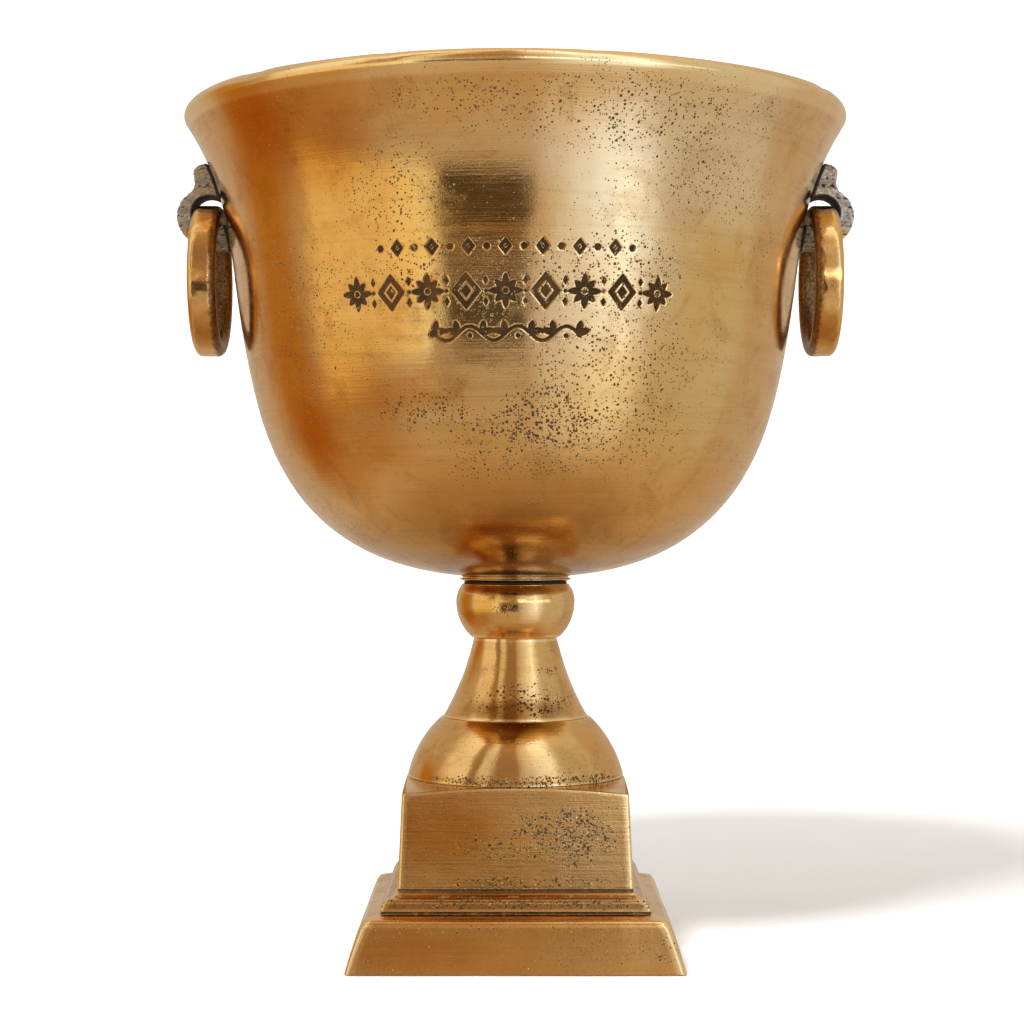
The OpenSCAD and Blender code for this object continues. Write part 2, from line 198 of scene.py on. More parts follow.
def lathe(name, outline, columns, wobble=0.0, wavelength=40, seed=1, reach=1.6):
    """A turned piece from a closed outline of [radius, height]."""
    outline = counter_clockwise(outline)
    wear_and_highlight, dirt_and_shade = shape_signs(outline, reach)
    points = lathe_points(outline, columns)
    if wobble:
        radius = np.hypot(points[:, 0], points[:, 1])
        grow = 1 + wobble * waves(points, seed, wavelength) / np.maximum(radius, 8)
        points[:, :2] *= grow[:, None]
    # the two attributes brighten proud edges, partly as a painted highlight, and darken nooks with grime and
    # painted shade
    return make_object(
        name, points, grid_faces(len(outline), columns).tolist(),
        {"wear_and_highlight": np.repeat(wear_and_highlight, columns), "dirt_and_shade": np.repeat(dirt_and_shade, columns)},
    )


# ---------------------------------------------------------------- material nodes

class Nodes:
    """Short names for the shader nodes used here."""

    def __init__(self, tree, clear=True):
        self.tree = tree
        if clear:
            tree.nodes.clear()

    def new(self, kind, **settings):
        n = self.tree.nodes.new("ShaderNode" + kind)
        for key, value in settings.items():
            setattr(n, key, value)
        return n

    def put(self, socket, value):
        if isinstance(value, bpy.types.NodeSocket):
            self.tree.links.new(value, socket)
        elif isinstance(value, (tuple, list)) and len(value) == 3 and socket.type == "RGBA":
            socket.default_value = (*value, 1)
        else:
            socket.default_value = value

    def rework(self, socket, change):
        """Puts change(old value) into a socket that is already linked."""
        self.put(socket, change(socket.links[0].from_socket))

    def math(self, op, a, b=0.0, clamp=False):
        n = self.new("Math", operation=op, use_clamp=clamp)
        self.put(n.inputs[0], a)
        self.put(n.inputs[1], b)
        return n.outputs[0]

    def add(self, a, b):
        return self.math("ADD", a, b)

    def mul(self, a, b):
        return self.math("MULTIPLY", a, b)

    def vector(self, op, a, b=(0, 0, 0)):
        n = self.new("VectorMath", operation=op)
        self.put(n.inputs[0], a)
        self.put(n.inputs[1], b)
        return n.outputs["Value"] if op == "LENGTH" else n.outputs[0]

    def split(self, v):
        n = self.new("SeparateXYZ")
        self.put(n.inputs[0], v)
        return n.outputs

    def joined(self, x, y, z):
        n = self.new("CombineXYZ")
        for socket, value in zip(n.inputs, (x, y, z)):
            self.put(socket, value)
        return n.outputs[0]

    def range(self, value, a, b, c=0.0, d=1.0):
        n = self.new("MapRange", interpolation_type="SMOOTHSTEP")
        for socket, v in zip(n.inputs, (value, a, b, c, d)):
            self.put(socket, v)
        return n.outputs[0]

    def noise(self, place, scale, detail=2.0, rough=0.5, warp=0.0):
        n = self.new("TexNoise")
        self.put(n.inputs["Vector"], place)
        n.inputs["Scale"].default_value = scale
        n.inputs["Detail"].default_value = detail
        n.inputs["Roughness"].default_value = rough
        n.inputs["Distortion"].default_value = warp
        return n.outputs[0]

    def cells(self, place, scale):
        n = self.new("TexVoronoi")
        self.put(n.inputs["Vector"], place)
        n.inputs["Scale"].default_value = scale
        return n.outputs["Distance"], self.split(n.outputs["Color"])[0]

    def mix(self, fac, a, b, blend="MIX"):
        n = self.new("Mix", data_type="RGBA", blend_type=blend)
        self.put(n.inputs[0], fac)
        self.put(n.inputs[6], a)
        self.put(n.inputs[7], b)
        return n.outputs[2]

    def blend(self, fac, a, b):
        n = self.new("Mix", data_type="FLOAT")
        self.put(n.inputs[0], fac)
        self.put(n.inputs[2], a)
        self.put(n.inputs[3], b)
        return n.outputs[0]

    def attribute(self, name):
        return self.new("Attribute", attribute_name=name).outputs["Fac"]

    def place(self):
        """Position in the row frame, in metres."""
        return self.new("TexCoord").outputs["Object"]

    def bump(self, height, strength, distance, before=None):
        n = self.new("Bump")
        n.inputs["Strength"].default_value = strength
        n.inputs["Distance"].default_value = distance
        self.put(n.inputs["Height"], height)
        if before is not None:
            self.put(n.inputs["Normal"], before)
        return n.outputs[0]


def new_material(name):
    material = bpy.data.materials.new(name)
    material.use_nodes = True
    n = Nodes(material.node_tree)
    surface = n.new("BsdfPrincipled")
    output = n.new("OutputMaterial")
    n.tree.links.new(surface.outputs[0], output.inputs[0])
    return material, n, surface.inputs


def lathe_place(n, around, along):
    """Position squeezed round the Z axis, so that a noise of it makes streaks that run round."""
    x, y, z = n.split(n.place())
    radius = n.math("SQRT", n.add(n.mul(x, x), n.mul(y, y)))
    radius = n.math("MAXIMUM", radius, 0.001)
    return n.joined(
        n.mul(n.math("DIVIDE", x, radius), around),
        n.mul(n.math("DIVIDE", y, radius), around),
        n.mul(z, along),
    )


def patch(n, centre, size, warp=0.25):
    """1 inside a soft round patch, 0 outside. Its edge is uneven."""
    offset = n.vector("SUBTRACT", n.place(), centre)
    scaled = n.vector("DIVIDE", offset, size)
    far = n.vector("LENGTH", scaled)
    edge = n.mul(n.add(n.noise(n.place(), 28, 4, 0.6), -0.5), 4 * warp)
    return n.range(n.add(far, edge), 1.15, 0.35)


# Colours of the brass and of what lies on it
PALE = (0.80, 0.52, 0.23)
GOLD = (0.78, 0.44, 0.14)
CREAM = (0.90, 0.70, 0.44)
AMBER = (0.66, 0.29, 0.06)
UMBER = (0.25, 0.095, 0.016)
# the two dark fill colours below are for pits, stain and grime, and also colour the painted shade in nooks;
# the colour after them brightens rubbed edges and also paints highlights on them
SOOT_AND_SHADE = (0.012, 0.006, 0.003)
RUST_AND_SHADE = (0.045, 0.017, 0.006)
WORN_AND_HIGHLIGHT = (0.98, 0.74, 0.40)


def brass(name, streak="cloud", rough=0.2, pit_share=0.25, grain=0.35, seed=0.0, drag=0.15, age=0.5, dirt_and_shade_strength=1.0,
          ink=False, pits=(), amber=(), cream=(), umber=()):
    """Aged brass. Grime and painted shade sit in nooks, and rubbed edges are bright, partly as a painted
    highlight.

    rough, pit_share, grain, drag, age and soot set the strength of the polish, the casting pits, the relief,
    the tool marks, the patina and the grime and painted shade in nooks. pits, amber, cream and umber are
    patches of (centre, size, strength), in metres, where pits or a colour gather. streak is the way of the
    tool marks.
    """
    material, n, surface = new_material(name)
    here = n.vector("ADD", n.place(), (seed, seed * 0.7, seed * 1.3))

    # Colour: two tones that change slowly over the surface, then the amber, cream and umber patches, which
    # are partly tarnish and rubbed patches and partly painted shade, sheen and reflection
    broad = n.noise(here, 9, 3, 0.55, 0.6)
    fine = n.noise(here, 70, 4, 0.65)
    cloud = n.noise(here, 170, 5, 0.72)
    blotch = n.noise(here, 38, 5, 0.62, 0.8)
    grit = n.noise(here, 780, 2, 0.6)
    tone = n.mix(n.range(n.add(broad, n.mul(fine, 0.25)), 0.42, 0.82), PALE, GOLD)
    for colour, patches in ((AMBER, amber), (CREAM, cream), (UMBER, umber)):
        for centre, size, share in patches:
            tone = n.mix(n.mul(patch(n, centre, size), share), tone, colour)

    # Fine tool marks
    if streak == "round":
        lines = n.noise(lathe_place(n, 2.0, 900), 1.0, 3, 0.7)
        bands = n.noise(lathe_place(n, 1.2, 120), 1.0, 2, 0.6)
    elif streak == "level":
        lines = n.noise(n.vector("MULTIPLY", here, (25, 25, 900)), 1.0, 3, 0.7)
        bands = n.noise(n.vector("MULTIPLY", here, (12, 12, 220)), 1.0, 3, 0.6)
    else:
        lines = n.noise(here, 420, 3, 0.65)
        bands = n.noise(here, 90, 3, 0.6)
    drawn = n.range(n.add(n.mul(lines, 0.6), n.mul(bands, 0.5)), 0.52, 0.72)
    tone = n.mix(n.mul(drawn, drag), tone, (0.42, 0.28, 0.16), "MULTIPLY")

    # Old patina: a thin uneven brown film with freckles in it
    film = n.range(n.add(blotch, n.mul(cloud, 0.25)), 0.60, 0.80)
    tone = n.mix(n.mul(film, 0.6 * age), tone, (0.70, 0.56, 0.42), "MULTIPLY")
    freckle = n.mul(n.range(grit, 0.60, 0.68), n.range(blotch, 0.42, 0.66))
    tone = n.mix(n.mul(freckle, 0.8 * age), tone, (0.30, 0.20, 0.12), "MULTIPLY")

    # Casting pits: small cells, thinned out by a slow noise, gathered in the named patches
    gather = n.range(n.noise(here, 16, 3, 0.6), 0.30, 0.78, 0.24 * age, pit_share)
    for centre, size, share in pits:
        gather = n.math("MAXIMUM", gather, n.mul(patch(n, centre, size, 0.35), share))
    shift = n.vector("MULTIPLY", n.joined(cloud, fine, cloud), (0.0016, 0.0016, 0.0016))
    wobble = n.vector("ADD", here, shift)
    pit = None
    for scale, spread in ((520, 0.52), (900, 0.62), (260, 0.26)):
        away, chance = n.cells(wobble, scale)
        size = n.math("SUBTRACT", gather, n.mul(chance, 0.9), True)
        size = n.mul(n.math("MINIMUM", size, 0.5), 2 * spread)
        hole = n.mul(n.range(n.math("SUBTRACT", size, away), -0.02, 0.12), n.range(size, 0.02, 0.12))
        pit = hole if pit is None else n.math("MAXIMUM", pit, hole)

    # Grime and painted shade in the nooks, and bright rubbed edges that are partly a painted highlight
    wear_and_highlight = n.attribute("wear_and_highlight")
    dirt_and_shade = n.mul(n.attribute("dirt_and_shade"), dirt_and_shade_strength)
    ragged = n.math("ADD", dirt_and_shade, n.mul(n.add(cloud, -0.5), 1.1), True)
    nook = n.mul(n.range(ragged, 0.22, 0.62), n.range(dirt_and_shade, 0.02, 0.2))
    dark = n.math("MAXIMUM", n.mul(pit, 0.93), n.mul(nook, 0.90))
    if ink:
        stain = n.attribute("ink")
        missing = n.mul(n.range(cloud, 0.60, 0.68), 0.7)
        filled = n.range(n.add(stain, n.mul(n.add(grit, -0.5), 0.5)), 0.34, 0.50)
        dark = n.math("MAXIMUM", dark, n.mul(filled, n.math("SUBTRACT", 0.97, missing)))
    tone = n.mix(n.mul(n.range(wear_and_highlight, 0.12, 0.55), 0.6), tone, WORN_AND_HIGHLIGHT)
    # the dark fill covers pits, stain, grime and the painted shade in nooks
    tone = n.mix(dark, tone, n.mix(n.range(blotch, 0.45, 0.60), SOOT_AND_SHADE, RUST_AND_SHADE))
    n.put(surface["Base Color"], tone)
    n.put(surface["Metallic"], n.blend(dark, 1.0, 0.0))
    n.put(surface["Specular IOR Level"], n.blend(dark, 0.5, 0.0))

    uneven = n.add(n.mul(n.add(cloud, -0.5), 0.08), n.mul(n.add(bands, -0.5), 0.18))
    level = n.add(n.add(uneven, rough), n.mul(n.range(lines, 0.45, 0.8), 0.08))
    level = n.math("ADD", level, n.mul(n.math("MAXIMUM", film, freckle), 0.10), True)
    n.put(surface["Roughness"], n.blend(dark, level, 0.9))

    # Heights in millimetres: slow waves, tool marks, pits
    waves_mm = n.mul(n.noise(here, 24, 2, 0.5), 1.2 * grain)
    marks_mm = n.mul(n.add(n.mul(lines, 0.6), n.mul(bands, 0.8)), 0.24 * grain)
    rest_mm = n.add(n.mul(dark, -0.34), n.mul(n.add(cloud, grit), 0.030))
    n.put(surface["Normal"], n.bump(n.add(n.add(waves_mm, marks_mm), rest_mm), 1.0, 0.001))
    return material


def paint(obj, material):
    obj.data.materials.clear()
    obj.data.materials.append(material)


def wrap(obj, material, body, node):
    """Gives a new piece its material and its body, and hides the CAD node that it stands in for."""
    paint(obj, material)
    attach(obj, body)
    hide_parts(node)


# ---------------------------------------------------------------- heights and radii from the CAD

plinth_lo, plinth_hi = low_high("plinth")
dome_lo, dome_hi = low_high("dome")
neck_lo, neck_hi = low_high("neck")
knob_lo, knob_hi = low_high("knob")
gasket_lo, gasket_hi = low_high("foot_gasket")
disc_lo, disc_hi = low_high("seat_disc")
bowl_lo, bowl_hi = low_high("bowl")
hinge = {j["name"]: j for j in frame["joints"]}

dome_z, neck_z, knob_z, gasket_z, disc_z = dome_lo[2], neck_lo[2], knob_lo[2], gasket_lo[2], disc_lo[2]
floor_z = low_high("bowl_seal")[0][2]
bore = 5.5
base_half = plinth_hi[0]


# ---------------------------------------------------------------- bowl

rim_r, rim_z = bowl_hi[0], bowl_hi[2]
bowl_z = bowl_lo[2]
belly = np.array([147.5, bowl_z + 95.5])
BELLY_TILT, LIP_TILT = 15.3, 32.6
belly_way = np.array([math.sin(math.radians(BELLY_TILT)), math.cos(math.radians(BELLY_TILT))])
lip_way = np.array([math.sin(math.radians(LIP_TILT)), math.cos(math.radians(LIP_TILT))])
bead_r = 5.5
wall = 3.0
floor_r = 34.0
bead_c = np.array([rim_r - bead_r, rim_z - bead_r])
lip = bead_c + bead_r * np.array([lip_way[1], -lip_way[0]])
recess_r = disc_hi[0] - 1.25
under_curve = cubic((0, bowl_z), (42.5, bowl_z), belly - 97 * belly_way, belly, 260)
side_curve = cubic(belly, belly + 78 * belly_way, lip - 62.5 * lip_way, lip, 260)
outer_curve = join(under_curve, side_curve)
outer_way = np.gradient(outer_curve, axis=0)
outer_way /= np.hypot(*outer_way.T)[:, None]
inner_curve = outer_curve + wall * np.stack([-outer_way[:, 1], outer_way[:, 0]], 1)


def outer_radius(z):
    return np.interp(z, outer_curve[:, 1], outer_curve[:, 0])


def even_steps(curve, spacing):
    """The curve resampled at about one spacing between points."""
    run = np.concatenate([[0], np.cumsum(np.hypot(*np.diff(curve, axis=0).T))])
    count = max(2, int(round(run[-1] / spacing)) + 1)
    place = np.linspace(0, run[-1], count)
    return np.stack([np.interp(place, run, curve[:, k]) for k in (0, 1)], 1)


# The engraved panel: its rows and columns of base faces are cut finer, so that it can be carved
PANEL_LOW, PANEL_HIGH = 333.0, 393.0
PANEL_HALF = math.radians(36)
PANEL_ROWS = 17
PANEL_CUTS = 6
COLUMNS = 240
PANEL_R = 159.0
ORNAMENT_SHIFT = 5.0
CARVED = 0.45


def lozenge(x, y, w, h):
    """Distance-like value of a lozenge: negative inside."""
    return (np.abs(x) / w + np.abs(y) / h - 1) * min(w, h) * 0.7


def disc(x, y, r):
    return np.hypot(x, y) - r


def leaf(x, y, angle, length, width):
    """A pointed oval that starts at the origin and runs along angle."""
    c, s = math.cos(angle), math.sin(angle)
    u, v = x * c + y * s - length / 2, -x * s + y * c
    bow = (length * length / 4 + width * width / 4) / width
    off = bow - width / 2
    return np.maximum(np.hypot(u, v - off) - bow, np.hypot(u, v + off) - bow)


def ornament(x, y):
    """Distance to a made-up ornament in three rows, negative inside. x runs right and y runs up."""
    out = np.full(len(x), 9.0)

    def put(value):
        np.minimum(out, value, out=out)

    # Top row: small lozenges and dots in turn
    pitch = 9.4
    for k in range(-7, 8):
        u, v = x - k * pitch, y - 22.5
        if k % 2:
            put(disc(u, v, 1.7))
        else:
            put(np.maximum(lozenge(u, v, 3.4, 4.4), -lozenge(u, v, 1.3, 1.7)))
            put(disc(u, v, 0.55))
    # Middle row: rosettes and nested lozenges in turn, with small fillers between them
    pitch = 20.4
    for k in range(-4, 5):
        u, v = x - k * pitch, y
        if k % 2:
            put(np.maximum(lozenge(u, v, 7.8, 9.6), -lozenge(u, v, 4.5, 5.6)))
            put(lozenge(u, v, 2.7, 3.5))
        else:
            for p in range(8):
                put(leaf(u, v, p * math.pi / 4, 9.2 if p % 2 == 0 else 7.6, 3.4))
            np.maximum(out, -(disc(u, v, 2.1)), out=out)
            put(disc(u, v, 1.3))
    for k in range(-4, 4):
        u = x - (k + 0.5) * pitch
        put(lozenge(u, np.abs(y) - 5.4, 1.3, 2.4))
        put(disc(u, y, 0.9))
    # Bottom row: a waving vine with pairs of leaves and berries
    half_wave, swing = 12.7, 3.6
    v = y + 21.5
    slope = swing * math.pi / half_wave * np.cos(x * math.pi / half_wave)
    stem = np.abs(v - swing * np.sin(x * math.pi / half_wave)) / np.sqrt(1 + slope ** 2) - 0.8
    put(np.maximum(stem, np.abs(x) - 38))
    for k in range(-3, 4):
        way = math.atan(swing * math.pi / half_wave) * (1 if k % 2 == 0 else -1)
        put(leaf(x - k * half_wave, v, way + 1.05, 6.8, 3.4))
        put(leaf(x - k * half_wave, v, way - 1.05 + math.pi, 6.8, 3.4))
    for k in range(-3, 3):
        put(disc(x - (k + 0.5) * half_wave, v + (1.2 if k % 2 == 0 else -1.2), 1.2))
    put(disc(np.abs(x) - 39, v, 1.9))
    return out


def on_panel(co):
    """True for points on the outside of the wall, within the engraved panel."""
    around = np.abs(np.arctan2(co[:, 0], -co[:, 1]))
    level = (co[:, 2] > PANEL_LOW - 0.01) & (co[:, 2] < PANEL_HIGH + 0.01)
    outside = np.hypot(co[:, 0], co[:, 1]) > outer_radius(co[:, 2]) - 1
    return (around <= PANEL_HALF + 0.01) & level & outside


def build_bowl():
    low = outer_curve[(outer_curve[:, 0] > recess_r) & (outer_curve[:, 1] < PANEL_LOW)]
    high = outer_curve[outer_curve[:, 1] > PANEL_HIGH]
    panel_z = np.linspace(PANEL_LOW, PANEL_HIGH, PANEL_ROWS + 1)
    panel = np.stack([outer_radius(panel_z), panel_z], 1)
    inner_end = 0.965 * (rim_z - bowl_z) + bowl_z
    inner = inner_curve[(inner_curve[:, 0] > floor_r) & (inner_curve[:, 1] < inner_end)]
    floor_edge = floor_r + 0.6
    outline = join(
        line((bore, disc_hi[2]), (recess_r, disc_hi[2]), 8),
        even_steps(low, 3.6), panel, even_steps(high, 3.2),
        turn(bead_c, bead_r, 8 - LIP_TILT, 212, 22),
        even_steps(inner[::-1], 4.5),
        (floor_edge, np.interp(floor_edge, inner_curve[:, 0], inner_curve[:, 1])),
        (floor_r, floor_z - 0.5), (floor_r - 0.5, floor_z), line((28, floor_z), (bore, floor_z), 6),
    )
    points = lathe_points(outline, COLUMNS)
    faces = grid_faces(len(outline), COLUMNS)
    mesh = bpy.data.meshes.new("bowl_body")
    mesh.from_pydata(points.tolist(), [], faces.tolist())
    bm = bmesh.new()
    bm.from_mesh(mesh)
    inside = on_panel(points)
    chosen = [f for f in bm.faces if all(inside[v.index] for v in f.verts)]
    edges = list({e for f in chosen for e in f.edges})
    bmesh.ops.subdivide_edges(bm, edges=edges, cuts=PANEL_CUTS, use_grid_fill=True)
    bm.to_mesh(mesh)
    bm.free()
    co = vectors(mesh.vertices, "co")
    polygons = [list(p.vertices) for p in mesh.polygons]
    bpy.data.meshes.remove(mesh)

    # Every panel point goes back onto the true curve
    around = np.arctan2(co[:, 0], -co[:, 1])
    radius = np.hypot(co[:, 0], co[:, 1])
    chosen = on_panel(co)
    new_r = np.where(chosen, outer_radius(co[:, 2]), radius)

    # The ornament is carved in, and filled with dark stain
    x = around[chosen] * PANEL_R + ORNAMENT_SHIFT
    y = co[chosen, 2] - (PANEL_LOW + PANEL_HIGH) / 2
    distance = ornament(x, y)
    carved = np.clip(0.5 - distance / 0.7, 0, 1)
    new_r[chosen] -= CARVED * carved * carved * (3 - 2 * carved)
    ink = np.zeros(len(co))
    ink[chosen] = np.clip(0.5 - distance / 0.9, 0, 1)

    # Hand finishing: slow waves in the wall, and small dents in the rolled rim
    new_r += 0.22 * waves(co, 3, 110, 2) + 0.05 * waves(co, 4, 24, 2)
    dents = (
        (-46, 2.2, 0.9), (-49, 1.4, 0.6), (-20, 1.6, 0.5), (12, 1.2, 0.4),
        (63, 2.0, 0.7), (140, 2.0, 0.8), (-110, 1.5, 0.6), (-160, 1.8, 0.7),
    )
    top = np.clip((co[:, 2] - (rim_z - 2 * bead_r)) / (2 * bead_r), 0, 1)
    drop = np.zeros(len(co))
    for where, width, depth in dents:
        off = np.degrees(np.abs((around - math.radians(where) + math.pi) % (2 * math.pi) - math.pi))
        drop += depth * np.exp(-((off / width) ** 2)) * top
    new_r -= 0.6 * drop * (radius > rim_r - bead_r)
    z = co[:, 2] - 0.5 * drop + 0.35 * top * waves(co * [1, 1, 0], 8, 170, 2)
    # what sits on the disc and round the rod stays true
    new_r = np.where(radius < recess_r + 4, radius, new_r)
    points = np.stack([new_r * np.sin(around), -new_r * np.cos(around), z], 1)

    # the rolled rim is brightened all round as a rubbed rim, which also paints the sheen along the lip
    rim = np.clip(1 - np.hypot(new_r - bead_c[0], z - bead_c[1]) / (bead_r + 3.5), 0, 1)
    return make_object("bowl_body", points, polygons, {"ink": ink, "wear_and_highlight": 0.9 * np.clip(rim * 2.2, 0, 1)})


bowl_brass = brass(
    "bowl_brass", "round", rough=0.11, pit_share=0.34, age=0.6, ink=True,
    pits=(
        ((0.060, -0.15, 0.452), (0.125, 0.12, 0.030), 0.44),
        ((0.095, -0.13, 0.425), (0.080, 0.10, 0.045), 0.40),
        ((-0.03, -0.155, 0.459), (0.090, 0.08, 0.016), 0.42),
        ((0.00, -0.15, 0.372), (0.150, 0.10, 0.036), 0.45),
        ((0.012, -0.148, 0.296), (0.050, 0.06, 0.026), 0.60),
        ((0.02, -0.148, 0.290), (0.120, 0.08, 0.040), 0.43),
        ((-0.045, -0.145, 0.303), (0.050, 0.06, 0.018), 0.52),
        ((0.06, -0.15, 0.330), (0.100, 0.08, 0.060), 0.42),
        ((-0.05, -0.145, 0.415), (0.050, 0.06, 0.04), 0.42),
        ((-0.115, -0.12, 0.36), (0.06, 0.08, 0.08), 0.38),
    ),
    # the amber patches on the left are tarnish that also paints that side darker and warmer, as painted shade
    amber=(
        ((-0.118, -0.115, 0.445), (0.062, 0.09, 0.040), 0.60),
        ((-0.13, -0.09, 0.33), (0.045, 0.09, 0.075), 0.22),
        ((-0.055, -0.13, 0.312), (0.045, 0.06, 0.016), 0.60),
    ),
    # the cream patches on the front right are pale rubbed patches that also paint a sheen there
    cream=(
        ((0.075, -0.14, 0.435), (0.12, 0.10, 0.06), 0.55),
        ((0.04, -0.15, 0.365), (0.07, 0.08, 0.05), 0.45),
    ),
    # painted reflection: the dark umber under the bowl's bottom stands in for the dark image of the stem
    # mirrored there
    umber=(
        ((0.0, -0.04, 0.220), (0.055, 0.06, 0.020), 0.95),
        ((0.0, -0.07, 0.226), (0.13, 0.12, 0.032), 0.42),
    ),
)
wrap(build_bowl(), bowl_brass, "stand", "bowl")


# ---------------------------------------------------------------- stem

dome_foot, dome_head = dome_hi[0], 43.5
dome_top = neck_z
dome_outline = rounded(join(
    (bore, dome_top), line((dome_head - 6, dome_top), (dome_head - 0.3, dome_top), 3),
    arc((dome_foot, dome_z + 0.5), (dome_head, dome_top - 0.3), 2.9, 34)[::-1],
    (dome_foot - 0.2, dome_z + 0.06), (57.5, dome_z + 0.06),
    (56.6, dome_z + 2.6), (dome_head - 4, dome_top - 5), (bore, dome_top - 5),
), 0.35)
neck_foot, neck_head = neck_hi[0], 24.0
neck_top = knob_z
neck_outline = rounded(join(
    (bore, neck_top), (neck_head - 0.3, neck_top),
    arc((neck_foot, neck_z + 0.4), (neck_head, neck_top - 0.2), -2.0, 40)[::-1],
    (neck_foot - 0.1, neck_z + 0.05), (35.5, neck_z + 0.05),
    (35.2, neck_z + 3), (17, neck_top - 6), (bore, neck_top - 6),
), 0.3)
knob_r, knob_foot, knob_crown = knob_hi[0], 25.5, 30.9
widest = knob_z + (gasket_z - knob_z) * 2 / 3


def bulge(side_r, end_r, rise):
    """Radius of the arc that is upright at side_r and reaches end_r after rise."""
    gap = end_r - side_r
    return (gap * gap + rise * rise) / (-2 * gap)


low_r = bulge(knob_r, knob_foot, widest - knob_z)
high_r = bulge(knob_r, knob_crown, gasket_z - widest)
low_turn = math.degrees(math.asin((widest - knob_z) / low_r))
high_turn = math.degrees(math.asin((gasket_z - widest) / high_r))
knob_outline = rounded(join(
    (bore, knob_z + 0.06), (knob_foot - 0.5, knob_z + 0.06),
    turn((knob_r - low_r, widest), low_r, -low_turn, 0, 26),
    turn((knob_r - high_r, widest), high_r, 2, high_turn, 20),
    (knob_crown - 0.7, gasket_z - 0.02), (bore, gasket_z - 0.02),
), 0.4)
gasket_outline = rounded(join(
    (15.2, gasket_z), (gasket_hi[0] - 0.1, gasket_z),
    turn((gasket_hi[0] - 0.7, (gasket_z + disc_z) / 2), (disc_z - gasket_z) / 2, -80, 80, 7),
    (15.2, disc_z),
), 0.1)
disc_r = disc_hi[0]
disc_outline = rounded(join(
    (bore, disc_z + 0.03), (disc_r - 3.4, disc_z + 0.03),
    arc((disc_r - 2.8, disc_z + 0.15), (disc_r - 0.25, disc_z + 1.15), 0.18, 5),
    turn((disc_r - 0.35, disc_z + 1.45), 0.35, -40, 70, 6),
    (disc_r - 1.5, disc_z + 1.86), (disc_r - 1.55, disc_hi[2] - 0.03), (bore, disc_hi[2] - 0.03),
), 0.12)

stem_brass = brass(
    "stem_brass", "round", rough=0.09, pit_share=0.26, grain=0.3, seed=1.0, age=0.7,
    pits=(
        ((0.005, -0.035, 0.143), (0.045, 0.04, 0.014), 0.52),
        ((0.0, -0.055, 0.101), (0.09, 0.06, 0.004), 0.66),
        ((0.02, -0.03, 0.160), (0.016, 0.02, 0.004), 0.55),
        ((-0.006, -0.034, 0.196), (0.014, 0.01, 0.004), 0.5),
    ),
    # the last umber band is painted shade at the dome's foot on the plinth; the first two darken the front of
    # the neck's foot
    umber=(
        ((0.0, -0.04, 0.1385), (0.045, 0.03, 0.007), 0.75),
        ((0.0, -0.045, 0.131), (0.026, 0.03, 0.006), 0.55),
        ((0.0, -0.03, 0.0985), (0.09, 0.09, 0.003), 0.70),
    ),
)
for name, outline, columns, node in (
    ("dome_shell", dome_outline, 192, "dome"),
    ("neck_flare", neck_outline, 160, "neck"),
    ("knob_ball", knob_outline, 160, "knob"),
    ("seat_disc_flange", disc_outline, 160, "seat_disc"),
):
    piece = lathe(name, outline, columns, wobble=0.16, wavelength=34, seed=len(name))
    wrap(piece, stem_brass, "stand", node)


# ---------------------------------------------------------------- plinth

def square_loop(half, corner, side_steps, corner_steps):
    """Unit plan of a rounded square, as points that keep their order from loop to loop."""
    corner = max(corner, 0.05)
    straight = half - corner
    points, corners = [], []
    for quarter in range(4):
        turn_by = quarter * math.pi / 2
        c, s = math.cos(turn_by), math.sin(turn_by)
        side = [(half, y) for y in np.linspace(-straight, straight, side_steps + 1)]
        bend = [(straight + corner * math.cos(a), straight + corner * math.sin(a))
                for a in np.linspace(0, math.pi / 2, corner_steps + 1)[1:-1]]
        for x, y in side + bend:
            points.append((x * c - y * s, x * s + y * c))
        corners += [0.0] * len(side) + [1.0] * len(bend)
        corners[-len(bend) - 1] = 0.8
        corners[-len(bend) - len(side)] = 0.8
    return np.array(points), np.array(corners)


